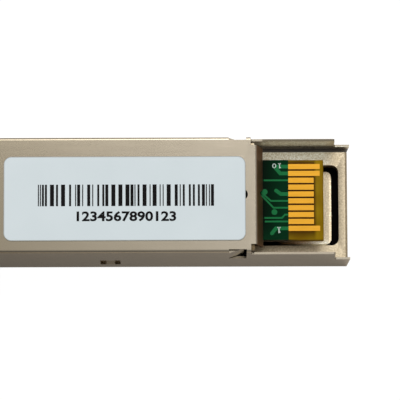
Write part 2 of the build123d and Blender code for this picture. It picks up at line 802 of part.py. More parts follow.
# Pivot pins, pressed into the nose, with flat heads outside the bail's arms
with BuildPart() as pivot_pins:
    for side in (1, -1):
        with BuildSketch(Plane.XZ.offset(-side * pin_root)):
            with Locations((pivot_x, pivot_z)):
                Circle(pivot_radius)
        extrude(amount=-side * (arm_out + running - pin_root))
        with BuildSketch(Plane.XZ.offset(-side * (arm_out + running))):
            with Locations((pivot_x, pivot_z)):
                Circle(pivot_head)
        extrude(amount=-side * pivot_head_height)
save(pivot_pins, "pivot_pins")

# Bail: two arms from the pivots to a cross bar in front of the roof side of the nose.
# Each arm carries a drive pin that stands this far before the vertical at rest.
cam_x = pivot_x - cam_radius * math.sin(math.radians(bail_swing / 2))
cam_z = pivot_z + cam_radius * math.cos(math.radians(bail_swing / 2))
eye_radius = 1.15
lobe_radius = 0.8
bar_height = grip_height - 0.4
bar_x = front_x + grip_depth / 2
bar_z = grip_lift + grip_height / 2
bar_corner = 0.9
bar_tail = 1.4
with BuildPart() as bail_frame:
    with BuildSketch(Plane.XY.offset(bar_z - bar_height / 2)):
        tail_x = bar_x + bar_tail
        bar_front = bar_x - arm_sheet / 2
        with BuildLine():
            FilletPolyline((tail_x, arm_out), (bar_front, arm_out), (bar_front, -arm_out),
                           (tail_x, -arm_out), radius=bar_corner)
            Line((tail_x, -arm_out), (tail_x, -arm_in))
            FilletPolyline((tail_x, -arm_in), (bar_front + arm_sheet, -arm_in),
                           (bar_front + arm_sheet, arm_in), (tail_x, arm_in),
                           radius=bar_corner - arm_sheet)
            Line((tail_x, arm_in), (tail_x, arm_out))
        make_face()
    extrude(amount=bar_height)
    for side in (1, -1):
        for hull_ends in (
                ((pivot_x, pivot_z, eye_radius), (cam_x, cam_z, lobe_radius)),
                ((pivot_x, pivot_z, eye_radius), (tail_x - bar_height / 2, bar_z, bar_height / 2))):
            with BuildSketch(Plane.XZ.offset(-side * arm_in)):
                for x, z, radius in hull_ends:
                    with Locations((x, z)):
                        Circle(radius)
                make_hull()
            extrude(amount=-side * arm_sheet)
        with BuildSketch(Plane.XZ.offset(-side * arm_in)):
            with Locations((pivot_x, pivot_z)):
                Circle(pivot_radius + running)
            with Locations((cam_x, cam_z)):
                Circle(cam_pin + 0.02)
        extrude(amount=-side * arm_sheet, mode=Mode.SUBTRACT)
save(bail_frame, "bail_frame")

with BuildPart() as drive_pins:
    for side in (1, -1):
        with BuildSketch(Plane.XZ.offset(-side * (front_half + ear_play))):
            with Locations((cam_x, cam_z)):
                Circle(cam_pin)
        extrude(amount=-side * (arm_out - front_half - ear_play))
save(drive_pins, "drive_pins")

# Grip: soft plastic moulded round the cross bar
with BuildPart() as bail_grip:
    with BuildSketch(Plane.XZ.offset(-grip_half)):
        limits(bar_x - grip_depth / 2, bar_x + grip_depth / 2,
               bar_z - grip_height / 2, bar_z + grip_height / 2, 0.35)
        limits(bar_front, bar_front + arm_sheet, bar_z - bar_height / 2, bar_z + bar_height / 2,
               mode=Mode.SUBTRACT)
    extrude(amount=2 * grip_half)
save(bail_grip, "bail_grip")

# Release slide: stamped plate over the nose, with forked ears and two tines beside the boss
slide_z = bed_z + slide_play
slide_top = slide_z + slide_sheet
ear_out = front_half + ear_play + ear_sheet
fork_half = cam_pin + 0.1
prong = 0.6
ear_front = cam_x - fork_half - prong
ear_rear = cam_x + fork_half + prong
ear_foot = pivot_z + pivot_boss + 0.1
tine_end = latch_x + 0.65
tine_inner = boss_width / 2 + 0.2
tine_outer = slide_half - slide_play
web_end = latch_x - slide_travel - 0.15
wedge = 0.35
wedge_length = 1.3
wedge_rise = 0.3
wedge_fall = 0.6
guide_length = 1.3
guide_end = groove_end - slide_travel - 0.1
with BuildPart() as release_slide:
    with BuildSketch(Plane.XY.offset(slide_z)):
        limits(ear_front, ear_rear, -ear_out, ear_out)
        limits(ear_rear, web_end, -tine_outer, tine_outer)
        for side in (1, -1):
            low, high = sorted((side * tine_inner, side * tine_outer))
            limits(web_end, tine_end, low, high)
    extrude(amount=slide_sheet)
    with BuildSketch(Plane.XY.offset(slide_z)):
        limits(guide_end - guide_length, guide_end,
               -tine_outer - lip_groove, tine_outer + lip_groove)
    extrude(amount=slide_sheet / 2 - slide_play)
    for side in (1, -1):
        # Wedge that lifts a cage's latch tongue, on the tip of each tine
        with BuildSketch(Plane.XZ.offset(-max(side * tine_inner, side * tine_outer))):
            with BuildLine():
                Polyline((tine_end - wedge_length, slide_top),
                         (tine_end - wedge_length + wedge_rise, slide_top + wedge),
                         (tine_end - wedge_fall, slide_top + wedge),
                         (tine_end, slide_z + wedge / 2),
                         (tine_end - wedge_length, slide_z + wedge / 2), close=True)
            make_face()
        extrude(amount=tine_outer - tine_inner)
        with BuildSketch(Plane.XZ.offset(-side * (ear_out - ear_sheet))):
            limits(ear_front, ear_rear, ear_foot, slide_top)
            limits(cam_x - fork_half, cam_x + fork_half,
                   ear_foot, pivot_z + cam_radius + cam_pin + 0.1, mode=Mode.SUBTRACT)
        extrude(amount=-side * ear_sheet)
    ear_bends = release_slide.edges().filter_by(Axis.X).filter_by_position(
        Axis.Z, slide_top - running, slide_top + running)
    fillet([bend for bend in ear_bends if abs(bend.center().Y) > front_half], ear_sheet - ear_play)
save(release_slide, "release_slide")
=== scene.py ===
import json
import math

import bmesh
import bpy
from mathutils import Matrix, Vector

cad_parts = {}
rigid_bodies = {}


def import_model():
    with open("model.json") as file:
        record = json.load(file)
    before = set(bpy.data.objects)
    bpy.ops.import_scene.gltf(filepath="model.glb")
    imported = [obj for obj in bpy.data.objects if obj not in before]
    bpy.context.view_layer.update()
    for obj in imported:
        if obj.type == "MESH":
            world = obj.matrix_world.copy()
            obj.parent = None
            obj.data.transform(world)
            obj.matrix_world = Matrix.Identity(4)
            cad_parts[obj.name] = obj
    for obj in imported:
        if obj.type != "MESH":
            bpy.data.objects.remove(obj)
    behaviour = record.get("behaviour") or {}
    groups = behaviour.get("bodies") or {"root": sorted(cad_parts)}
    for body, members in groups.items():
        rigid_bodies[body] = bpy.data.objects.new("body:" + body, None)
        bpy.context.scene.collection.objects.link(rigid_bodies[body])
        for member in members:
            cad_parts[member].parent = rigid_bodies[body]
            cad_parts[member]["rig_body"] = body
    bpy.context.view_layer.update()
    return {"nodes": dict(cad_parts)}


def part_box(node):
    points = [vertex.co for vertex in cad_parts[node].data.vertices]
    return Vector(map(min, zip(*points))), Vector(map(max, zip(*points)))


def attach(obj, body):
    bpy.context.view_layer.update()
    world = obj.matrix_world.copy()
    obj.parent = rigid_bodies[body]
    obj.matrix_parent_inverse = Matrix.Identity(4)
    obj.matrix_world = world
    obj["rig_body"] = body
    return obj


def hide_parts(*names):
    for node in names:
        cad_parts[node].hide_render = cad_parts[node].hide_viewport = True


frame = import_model()
MM = 0.001


# Cast base: tray, nose and rear deck in one zinc die casting, tumbled and nickel plated.
# The plating keeps the fine orange-peel skin of the mould, so flats glitter softly
# and only the corners are rubbed smooth.
def linear(code):
    """The linear colour of an sRGB hex value."""
    parts = [int(code[i:i + 2], 16) / 255 for i in (1, 3, 5)]
    return (*(c / 12.92 if c <= 0.04045 else ((c + 0.055) / 1.055) ** 2.4 for c in parts), 1.0)


def add_node(owner, kind, inputs=None, **settings):
    """Adds one node; inputs maps a socket's name or number to its value or its source socket."""
    tree = getattr(owner, "node_tree", owner)
    node = tree.nodes.new(kind)
    for key, value in settings.items():
        setattr(node, key, value)
    for key, value in (inputs or {}).items():
        if isinstance(value, bpy.types.NodeSocket):
            tree.links.new(value, node.inputs[key])
        else:
            node.inputs[key].default_value = value
    return node


def start_material(name):
    """An empty material with its output node."""
    made = bpy.data.materials.new(name)
    made.use_nodes = True
    made.node_tree.nodes.clear()
    add_node(made, "ShaderNodeOutputMaterial")
    return made


def close_material(made, shader):
    """Links a shader to the material's output."""
    out = next(n for n in made.node_tree.nodes if n.type == "OUTPUT_MATERIAL")
    made.node_tree.links.new(shader.outputs[0], out.inputs["Surface"])
    return made


def per_mm(size):
    """Noise scale for grains of this many millimetres."""
    return 1 / (size * MM)


def within(owner, ramps):
    """1 in a zone and 0 outside it, from ramps: a place's socket, and where it is 0 and 1 (mm)."""
    share = None
    for measure, outside, inside in ramps:
        ramp = add_node(owner, "ShaderNodeMapRange",
                        {"Value": measure, "From Min": outside * MM, "From Max": inside * MM})
        if share is not None:
            ramp = add_node(owner, "ShaderNodeMath", {0: share, 1: ramp.outputs[0]},
                            operation="MULTIPLY")
        share = ramp.outputs[0]
    return share


def dress(node, finish, edge=0.0, segments=2):
    """Gives a CAD node its finish, on a merged copy with its edges broken if edge (mm) is given."""
    source = frame["nodes"][node]
    if edge == 0:
        source.data.materials.clear()
        source.data.materials.append(finish)
        return source
    mesh = source.data.copy()
    shape = bmesh.new()
    shape.from_mesh(mesh)
    bmesh.ops.remove_doubles(shape, verts=shape.verts, dist=0.001 * MM)
    bmesh.ops.dissolve_limit(shape, angle_limit=math.radians(0.5),
                             verts=shape.verts, edges=shape.edges)
    for face in shape.faces:
        face.smooth = True
    shape.to_mesh(mesh)
    shape.free()
    mesh.normals_split_custom_set([(0, 0, 0)] * len(mesh.loops))
    mesh.set_sharp_from_angle(angle=math.radians(30))
    mesh.materials.clear()
    mesh.materials.append(finish)
    piece = bpy.data.objects.new(node + "_finished", mesh)
    bpy.context.scene.collection.objects.link(piece)
    rounding = piece.modifiers.new("broken_edges", "BEVEL")
    rounding.width = edge * MM
    rounding.segments = segments
    rounding.limit_method = "ANGLE"
    rounding.angle_limit = math.radians(35)
    rounding.harden_normals = True
    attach(piece, source["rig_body"])
    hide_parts(node)
    return piece


zinc = start_material("nickel_plated_zinc_as_cast")
place = add_node(zinc, "ShaderNodeTexCoord").outputs["Object"]
skin = add_node(zinc, "ShaderNodeTexNoise",
                {"Vector": place, "Scale": per_mm(0.16), "Detail": 2.0, "Roughness": 0.6})
flow = add_node(zinc, "ShaderNodeTexNoise",
                {"Vector": place, "Scale": per_mm(2.5), "Detail": 2.0})
glint = add_node(zinc, "ShaderNodeMapRange",
                 {"Value": skin.outputs["Fac"], "From Min": 0.35, "From Max": 0.68})
tone = add_node(zinc, "ShaderNodeMix",
                {0: glint.outputs[0], 6: linear("#C7BCA5"), 7: linear("#EBE1CD")}, data_type="RGBA")
patch = add_node(zinc, "ShaderNodeMix",
                 {0: flow.outputs["Fac"], 6: linear("#EAE2D4"), 7: linear("#FFF9EE")},
                 data_type="RGBA")
as_cast = add_node(zinc, "ShaderNodeMix",
                   {0: 1.0, 6: tone.outputs[2], 7: patch.outputs[2]}, data_type="RGBA",
                   blend_type="MULTIPLY")
# Two places carry painted light in a lighter speckle: the deck's strip beside the board, painted
# lighter where the walls shade it, and the trench's near side behind the board's middle, a painted
# glint
along, across, up = add_node(zinc, "ShaderNodeSeparateXYZ", {0: place}).outputs
sideways = add_node(zinc, "ShaderNodeMath", {0: across}, operation="ABSOLUTE").outputs[0]
highlight_speckle = add_node(zinc, "ShaderNodeMix",
                   {0: glint.outputs[0], 6: linear("#D9CDAF"), 7: linear("#FFFCEC")},
                   data_type="RGBA").outputs[2]
painted_light_strip = within(zinc, ((along, 17.2, 17.4), (along, 26.4, 25.2),
                       (across, 4.65, 4.75), (up, 3.1, 3.2)))
painted_glint = within(zinc, ((along, 21.9, 23.0), (along, 26.1, 25.6),
                      (across, -3.6, -4.0), (up, 2.0, 1.9)))
# The shoulder's corner in the near notch of the cover is coloured a darker brown
darker_notch_corner = within(zinc, ((along, 16.3, 16.4), (along, 18.1, 18.0),
                       (across, -5.2, -5.3), (across, -6.6, -6.5), (up, 4.0, 4.2)))
# Painted shade, near black: the bottom of the rear trench, the plateau's front under the board
# (a painted shadow of the board) and the pockets behind the cover's snap windows, outside the glint
rear_pocket = ((along, 17.2, 17.3), (sideways, 4.85, 4.75), (up, 0.6, 0.7))
painted_shade = within(zinc, (*rear_pocket, (along, 27.1, 27.0), (up, 1.72, 1.6)))
painted_board_shadow = within(zinc, (*rear_pocket, (along, 23.0, 20.0), (up, 2.0, 1.9)))
painted_pocket_shade = within(zinc, ((along, 14.1, 14.3), (along, 16.8, 16.7),
                             (sideways, 5.3, 5.5), (up, 4.6, 4.9), (up, 8.3, 8.15)))
for zone in (painted_board_shadow, painted_pocket_shade):
    painted_shade = add_node(zinc, "ShaderNodeMath", {0: painted_shade, 1: zone},
                        operation="MAXIMUM").outputs[0]
beside_glint = add_node(zinc, "ShaderNodeMath", {0: 1.0, 1: painted_glint}, operation="SUBTRACT")
dark = add_node(zinc, "ShaderNodeMath", {0: painted_shade, 1: beside_glint.outputs[0]},
                operation="MULTIPLY").outputs[0]
finish = as_cast.outputs[2]
# Over the cast tone go painted light, a darker notch corner and the painted near-black shade
for zone, over in ((painted_light_strip, highlight_speckle), (painted_glint, highlight_speckle), (darker_notch_corner, linear("#6B5C44")),
                   (dark, linear("#0B0908"))):
    finish = add_node(zinc, "ShaderNodeMix", {0: zone, 6: finish, 7: over},
                      data_type="RGBA").outputs[2]
rough = add_node(zinc, "ShaderNodeMapRange",
                 {"Value": skin.outputs["Fac"], "From Min": 0.3, "From Max": 0.7,
                  "To Min": 0.46, "To Max": 0.3})
grit = add_node(zinc, "ShaderNodeBump",
                {"Height": skin.outputs["Fac"], "Strength": 0.35, "Distance": 0.04 * MM})
close_material(zinc, add_node(zinc, "ShaderNodeBsdfPrincipled", {
    "Base Color": finish, "Metallic": 1.0, "Roughness": rough.outputs[0],
    "Normal": grit.outputs[0]}))
dress("base_housing", zinc, edge=0.07)


# Ground collar: thin copper-alloy spring sheet, nickel plated and left bright, bent round
# the nose with bowed fingers. Rolled stock, so its faint grain runs along the strip.
spring = start_material("nickel_plated_spring_sheet")
place = add_node(spring, "ShaderNodeTexCoord").outputs["Object"]
stretched = add_node(spring, "ShaderNodeMapping", {"Vector": place, "Scale": (0.08, 1.0, 1.0)})
grain = add_node(spring, "ShaderNodeTexNoise",
                 {"Vector": stretched.outputs[0], "Scale": per_mm(0.06), "Detail": 2.0})
rough = add_node(spring, "ShaderNodeMapRange",
                 {"Value": grain.outputs["Fac"], "To Min": 0.16, "To Max": 0.32})
tone = add_node(spring, "ShaderNodeMix",
                {0: grain.outputs["Fac"], 6: linear("#B9B2A2"), 7: linear("#D2CCBD")},
                data_type="RGBA")
close_material(spring, add_node(spring, "ShaderNodeBsdfPrincipled", {
    "Base Color": tone.outputs[2], "Metallic": 1.0, "Roughness": rough.outputs[0]}))
dress("ground_collar", spring, edge=0.02)


# Optical subassemblies: turned stainless barrels with a ceramic sleeve in the nozzle, and
# sealed cans soldered to their tails. The turning leaves fine rings round each barrel.
def wave_scale(length):
    """Scale of a wave texture; one wave is 2 pi times this many millimetres long."""
    texture_factor = 20
    return per_mm(length) / texture_factor


turned = start_material("turned_stainless_steel")
place = add_node(turned, "ShaderNodeTexCoord").outputs["Object"]
# The rings are drawn wider than a turning tool leaves them, so that they show
rings = add_node(turned, "ShaderNodeTexWave",
                 {"Vector": place, "Scale": wave_scale(0.12), "Distortion": 0.4, "Detail": 1.0},
                 wave_type="BANDS", bands_direction="X")
rough = add_node(turned, "ShaderNodeMapRange",
                 {"Value": rings.outputs["Fac"], "To Min": 0.2, "To Max": 0.34})
cut = add_node(turned, "ShaderNodeBump",
               {"Height": rings.outputs["Fac"], "Strength": 0.25, "Distance": 0.01 * MM})
tone = add_node(turned, "ShaderNodeMix",
                {0: rings.outputs["Fac"], 6: linear("#B4B2AE"), 7: linear("#C9C7C2")},
                data_type="RGBA")
close_material(turned, add_node(turned, "ShaderNodeBsdfPrincipled", {
    "Base Color": tone.outputs[2], "Metallic": 1.0, "Roughness": rough.outputs[0],
    "Normal": cut.outputs[0]}))

zirconia = start_material("polished_zirconia")
place = add_node(zirconia, "ShaderNodeTexCoord").outputs["Object"]
cloud = add_node(zirconia, "ShaderNodeTexNoise",
                 {"Vector": place, "Scale": per_mm(0.8), "Detail": 2.0})
tone = add_node(zirconia, "ShaderNodeMix",
                {0: cloud.outputs["Fac"], 6: linear("#EDECE6"), 7: linear("#F7F6F2")},
                data_type="RGBA")
close_material(zirconia, add_node(zirconia, "ShaderNodeBsdfPrincipled", {
    "Base Color": tone.outputs[2], "Roughness": 0.08, "IOR": 2.1,
    "Subsurface Weight": 0.15, "Subsurface Radius": (0.001, 0.001, 0.001),
    "Subsurface Scale": 0.4}))

gilt = start_material("gold_plated_can")
place = add_node(gilt, "ShaderNodeTexCoord").outputs["Object"]
cloud = add_node(gilt, "ShaderNodeTexNoise", {"Vector": place, "Scale": per_mm(0.5), "Detail": 3.0})
rough = add_node(gilt, "ShaderNodeMapRange",
                 {"Value": cloud.outputs["Fac"], "To Min": 0.12, "To Max": 0.3})
tone = add_node(gilt, "ShaderNodeMix",
                {0: cloud.outputs["Fac"], 6: linear("#D3B872"), 7: linear("#E4CB88")},
                data_type="RGBA")
close_material(gilt, add_node(gilt, "ShaderNodeBsdfPrincipled", {
    "Base Color": tone.outputs[2], "Metallic": 1.0, "Roughness": rough.outputs[0]}))
for side in ("transmitter", "receiver"):
    dress(side + "_barrel", turned, edge=0.05)
    dress(side + "_sleeve", zirconia, edge=0.04)
    dress(side + "_can", gilt, edge=0.04)


# Flexible leads: copper tracks between two amber polyimide films, soldered to the board.
# The film is glossy and shows its tracks as slightly darker lines along it.
polyimide = start_material("polyimide_film_over_copper")
place = add_node(polyimide, "ShaderNodeTexCoord").outputs["Object"]
lines = add_node(polyimide, "ShaderNodeTexWave",
                 {"Vector": place, "Scale": wave_scale(0.5), "Distortion": 0.0},
                 wave_type="BANDS", bands_direction="Y")
step = add_node(polyimide, "ShaderNodeMapRange",
                {"Value": lines.outputs["Fac"], "From Min": 0.45, "From Max": 0.55})
tone = add_node(polyimide, "ShaderNodeMix",
                {0: step.outputs[0], 6: linear("#A4611A"), 7: linear("#C98A34")}, data_type="RGBA")
raised = add_node(polyimide, "ShaderNodeBump",
                  {"Height": step.outputs[0], "Strength": 0.3, "Distance": 0.02 * MM})
close_material(polyimide, add_node(polyimide, "ShaderNodeBsdfPrincipled", {
    "Base Color": tone.outputs[2], "Roughness": 0.25, "IOR": 1.7, "Normal": raised.outputs[0]}))
for side in ("transmitter", "receiver"):
    dress(side + "_flex", polyimide, edge=0.02)


# Optics holder and bail grip: glass-filled black plastic, injection moulded. Fine spark
# texture from the mould, a little glossier where it has been handled.
black = start_material("black_glass_filled_plastic")
place = add_node(black, "ShaderNodeTexCoord").outputs["Object"]
spark = add_node(black, "ShaderNodeTexNoise",
                 {"Vector": place, "Scale": per_mm(0.12), "Detail": 3.0})
hand = add_node(black, "ShaderNodeTexNoise", {"Vector": place, "Scale": per_mm(3.0), "Detail": 2.0})
rough = add_node(black, "ShaderNodeMapRange",
                 {"Value": hand.outputs["Fac"], "To Min": 0.38, "To Max": 0.6})
tone = add_node(black, "ShaderNodeMix",
                {0: spark.outputs["Fac"], 6: linear("#141414"), 7: linear("#242423")},
                data_type="RGBA")
tooth = add_node(black, "ShaderNodeBump",
                 {"Height": spark.outputs["Fac"], "Strength": 0.35, "Distance": 0.02 * MM})
close_material(black, add_node(black, "ShaderNodeBsdfPrincipled", {
    "Base Color": tone.outputs[2], "Roughness": rough.outputs[0], "IOR": 1.5,
    "Normal": tooth.outputs[0]}))
dress("optics_holder", black, edge=0.08)


# Circuit board: glass-fibre laminate, routed to its outline and bevelled at the card edge.
# Where no mask covers it, the amber resin shows the weave of the glass cloth under it.
laminate = start_material("glass_fibre_laminate")
place = add_node(laminate, "ShaderNodeTexCoord").outputs["Object"]
# The threads are drawn further apart than the real half millimetre, so that they show
warp = add_node(laminate, "ShaderNodeTexWave",
                {"Vector": place, "Scale": wave_scale(0.45), "Distortion": 0.6, "Detail": 1.0},
                wave_type="BANDS", bands_direction="X")
weft = add_node(laminate, "ShaderNodeTexWave",
                {"Vector": place, "Scale": wave_scale(0.45), "Distortion": 0.6, "Detail": 1.0},
                wave_type="BANDS", bands_direction="Y")
cloth = add_node(laminate, "ShaderNodeMath", {0: warp.outputs["Fac"], 1: weft.outputs["Fac"]},
                 operation="MULTIPLY")
resin = add_node(laminate, "ShaderNodeTexNoise",
                 {"Vector": place, "Scale": per_mm(1.2), "Detail": 3.0})
tone = add_node(laminate, "ShaderNodeMix",
                {0: resin.outputs["Fac"], 6: linear("#7C5E00"), 7: linear("#957508")},
                data_type="RGBA")
woven = add_node(laminate, "ShaderNodeMix",
                 {0: cloth.outputs[0], 6: tone.outputs[2], 7: linear("#9A7C0C")}, data_type="RGBA")
# The resin is coloured dark brown between and behind the contacts, and the board's near
# edge ahead of them carries a painted shade, near black
along, across = add_node(laminate, "ShaderNodeSeparateXYZ", {0: place}).outputs[:2]
darker_resin = within(laminate, ((along, 21.0, 21.2), (along, 24.45, 24.1),
                            (across, -5.0, -3.5), (across, 4.9, 4.2)))
painted_edge_shade = within(laminate, ((along, 22.4, 21.0), (across, -4.58, -4.63)))
finish = woven.outputs[2]
for zone, over in ((darker_resin, "#3C1E00"), (painted_edge_shade, "#0D0803")):
    finish = add_node(laminate, "ShaderNodeMix", {0: zone, 6: finish, 7: linear(over)},
                      data_type="RGBA").outputs[2]
close_material(laminate, add_node(laminate, "ShaderNodeBsdfPrincipled", {
    "Base Color": finish, "Roughness": 0.42, "IOR": 1.52, "Specular IOR Level": 0.04}))
dress("circuit_board", laminate, edge=0.03)


# Solder mask: thin green epoxy over copper, screened and cured. It is clear enough that the
# copper under it shows lighter and raised, and its gloss is broken by a faint orange peel.
mask = start_material("green_solder_mask")
place = add_node(mask, "ShaderNodeTexCoord").outputs["Object"]
cloud = add_node(mask, "ShaderNodeTexNoise", {"Vector": place, "Scale": per_mm(1.5), "Detail": 3.0})
peel = add_node(mask, "ShaderNodeTexNoise", {"Vector": place, "Scale": per_mm(0.18), "Detail": 2.0})
tone = add_node(mask, "ShaderNodeMix",
                {0: cloud.outputs["Fac"], 6: linear("#012611"), 7: linear("#03371D")},
                data_type="RGBA")
# Painted shadow: the mask is painted darker where the cover's flange shades the board
along, across = add_node(mask, "ShaderNodeSeparateXYZ", {0: place}).outputs[:2]
shaded = within(mask, ((along, 20.4, 18.2), (across, -4.6, -2.6)))
painted_flange_shadow = add_node(mask, "ShaderNodeMix",
                 {0: shaded, 6: tone.outputs[2], 7: linear("#011207")}, data_type="RGBA")
rise = add_node(mask, "ShaderNodeBump",
                {"Height": peel.outputs["Fac"], "Strength": 0.15, "Distance": 0.02 * MM})
close_material(mask, add_node(mask, "ShaderNodeBsdfPrincipled", {
    "Base Color": painted_flange_shadow.outputs[2], "Roughness": 0.3, "IOR": 1.5, "Specular IOR Level": 0.03,
    "Normal": rise.outputs[0]}))
dress("solder_mask_label_side", mask)
dress("solder_mask_roof_side", mask)

traces = start_material("copper_under_green_mask")
place = add_node(traces, "ShaderNodeTexCoord").outputs["Object"]
cloud = add_node(traces, "ShaderNodeTexNoise",
                 {"Vector": place, "Scale": per_mm(0.6), "Detail": 3.0})
tone = add_node(traces, "ShaderNodeMix",
                {0: cloud.outputs["Fac"], 6: linear("#0C6A36"), 7: linear("#127A42")},
                data_type="RGBA")
close_material(traces, add_node(traces, "ShaderNodeBsdfPrincipled", {
    "Base Color": tone.outputs[2], "Roughness": 0.3, "IOR": 1.5, "Specular IOR Level": 0.12}))
dress("covered_traces", traces)


# Card-edge contacts: hard gold over nickel on copper, plated bright and wiped by mating.
# Faint wipe lines run along X, the way that the connector's springs slide.
gold = start_material("hard_gold_plating")
place = add_node(gold, "ShaderNodeTexCoord").outputs["Object"]
stretched = add_node(gold, "ShaderNodeMapping", {"Vector": place, "Scale": (0.05, 1.0, 1.0)})
wipe = add_node(gold, "ShaderNodeTexNoise",
                {"Vector": stretched.outputs[0], "Scale": per_mm(0.08), "Detail": 2.0})
rough = add_node(gold, "ShaderNodeMapRange",
                 {"Value": wipe.outputs["Fac"], "To Min": 0.25, "To Max": 0.42})
tone = add_node(gold, "ShaderNodeMix",
                {0: wipe.outputs["Fac"], 6: linear("#D2982D"), 7: linear("#E0A438")},
                data_type="RGBA")
close_material(gold, add_node(gold, "ShaderNodeBsdfPrincipled", {
    "Base Color": tone.outputs[2], "Metallic": 1.0, "Roughness": rough.outputs[0]}))
dress("contact_pads_label_side", gold)
dress("contact_pads_roof_side", gold)


# Pin numbers: white ink screened on the mask, 10 beside the last contact and 1 beside the
# first. They are read from the card edge side, so they stand upside down here.
def plain_mesh(maker, name):
    """The evaluated mesh of a text or modified object, as a new object; the maker is removed."""
    bpy.context.view_layer.update()
    graph = bpy.context.evaluated_depsgraph_get()
    mesh = bpy.data.meshes.new_from_object(maker.evaluated_get(graph))
    mesh.name = name
    bpy.data.objects.remove(maker)
    piece = bpy.data.objects.new(name, mesh)
    bpy.context.scene.collection.objects.link(piece)
    return piece


def printed_text(name, words, low, high, level, thickness, ink, upside_down=False, weight=0.0):
    """Figures fitted into a box from low to high (mm), as a thin skin of ink."""
    curve = bpy.data.curves.new(name, "FONT")
    curve.body = words
    curve.extrude = 0.5
    curve.resolution_u = 3
    curve.offset = weight
    maker = bpy.data.objects.new(name + "_text", curve)
    bpy.context.scene.collection.objects.link(maker)
    piece = plain_mesh(maker, name)
    corners = [v.co for v in piece.data.vertices]
    least = Vector(min(c[i] for c in corners) for i in range(3))
    size = Vector(max(c[i] for c in corners) for i in range(3)) - least
    target = (Vector((*high, level + thickness)) - Vector((*low, level)))
    for vertex in piece.data.vertices:
        share = [(vertex.co[i] - least[i]) / size[i] for i in range(3)]
        if upside_down:
            share[0], share[1] = 1 - share[0], 1 - share[1]
        vertex.co = [(v + s * t) * MM for v, s, t in zip((*low, level), share, target)]
    piece.data.materials.clear()
    piece.data.materials.append(ink)
    return piece


white_ink = start_material("white_screen_ink")
place = add_node(white_ink, "ShaderNodeTexCoord").outputs["Object"]
wear = add_node(white_ink, "ShaderNodeTexNoise",
                {"Vector": place, "Scale": per_mm(0.15), "Detail": 2.0})
tone = add_node(white_ink, "ShaderNodeMix",
                {0: wear.outputs["Fac"], 6: linear("#B4C8BC"), 7: linear("#E6EEE9")},
                data_type="RGBA")
close_material(white_ink, add_node(white_ink, "ShaderNodeBsdfPrincipled", {
    "Base Color": tone.outputs[2], "Roughness": 0.6, "IOR": 1.5}))
mask_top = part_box("solder_mask_label_side")[1][2] / MM
# The ink also lies over the traces, which stand a little higher than the mask
over_traces = 0.03
nought = printed_text("pin_number_nought", "0", (19.38, 3.7), (19.84, 4.24), mask_top, over_traces,
                      white_ink, upside_down=True)
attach(nought, "housing")
# The strokes of a 1 as it stands here, in mm: stem, foot and flag, each as x0, x1, y0, y1. One
# 1 is beside the nought and a little smaller, and one is alone.
figure_one = ((-0.06, 0.06, 0.0, 0.72), (-0.19, 0.19, 0.6, 0.72), (0.04, 0.17, 0.06, 0.18))
shape = bmesh.new()
for at_x, at_y, size in ((20.22, 3.67, 0.83), (20.1, -3.88, 1.0)):
    for x0, x1, y0, y1 in [[size * edge for edge in stroke] for stroke in figure_one]:
        corners = bmesh.ops.create_cube(shape, size=1.0)["verts"]
        bmesh.ops.scale(shape, verts=corners, vec=Vector((x1 - x0, y1 - y0, over_traces)) * MM)
        middle = Vector((at_x + (x0 + x1) / 2, at_y + (y0 + y1) / 2,
                         mask_top + over_traces / 2))
        bmesh.ops.translate(shape, verts=corners, vec=middle * MM)
ones_mesh = bpy.data.meshes.new("pin_number_ones")
shape.to_mesh(ones_mesh)
shape.free()
ones_mesh.materials.append(white_ink)
ones = bpy.data.objects.new("pin_number_ones", ones_mesh)
bpy.context.scene.collection.objects.link(ones)
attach(ones, "housing")


# Chips: black epoxy packages, transfer moulded. Matt tops with a fine sand texture from the
# mould; nothing is printed on them.
epoxy = start_material("moulded_epoxy_package")
place = add_node(epoxy, "ShaderNodeTexCoord").outputs["Object"]
sand = add_node(epoxy, "ShaderNodeTexNoise",
                {"Vector": place, "Scale": per_mm(0.08), "Detail": 3.0})
tone = add_node(epoxy, "ShaderNodeMix",
                {0: sand.outputs["Fac"], 6: linear("#17181A"), 7: linear("#27282B")},
                data_type="RGBA")
tooth = add_node(epoxy, "ShaderNodeBump",
                 {"Height": sand.outputs["Fac"], "Strength": 0.4, "Distance": 0.01 * MM})
close_material(epoxy, add_node(epoxy, "ShaderNodeBsdfPrincipled", {
    "Base Color": tone.outputs[2], "Roughness": 0.62, "IOR": 1.55, "Normal": tooth.outputs[0]}))
for chip in ("driver_chip", "amplifier_chip", "controller_chip", "memory_chip"):
    dress(chip, epoxy, edge=0.02)


# Small parts: ceramic capacitors, resistors and ferrite beads with tinned ends, soldered to
# the board. Each body is one fired block, speckled at the scale of its grains.
for node, dark, light, gloss in (
        ("chip_capacitors", "#8A6A48", "#A98860", 0.45),
        ("chip_resistors", "#141417", "#2A2A30", 0.3),
        ("ferrite_beads", "#2C2C30", "#45454A", 0.55)):
    fired = start_material(node + "_fired_ceramic")
    place = add_node(fired, "ShaderNodeTexCoord").outputs["Object"]
    fleck = add_node(fired, "ShaderNodeTexNoise",
                     {"Vector": place, "Scale": per_mm(0.15), "Detail": 3.0})
    tone = add_node(fired, "ShaderNodeMix",
                    {0: fleck.outputs["Fac"], 6: linear(dark), 7: linear(light)}, data_type="RGBA")
    close_material(fired, add_node(fired, "ShaderNodeBsdfPrincipled", {
        "Base Color": tone.outputs[2], "Roughness": gloss, "IOR": 1.6}))
    dress(node, fired, edge=0.02)


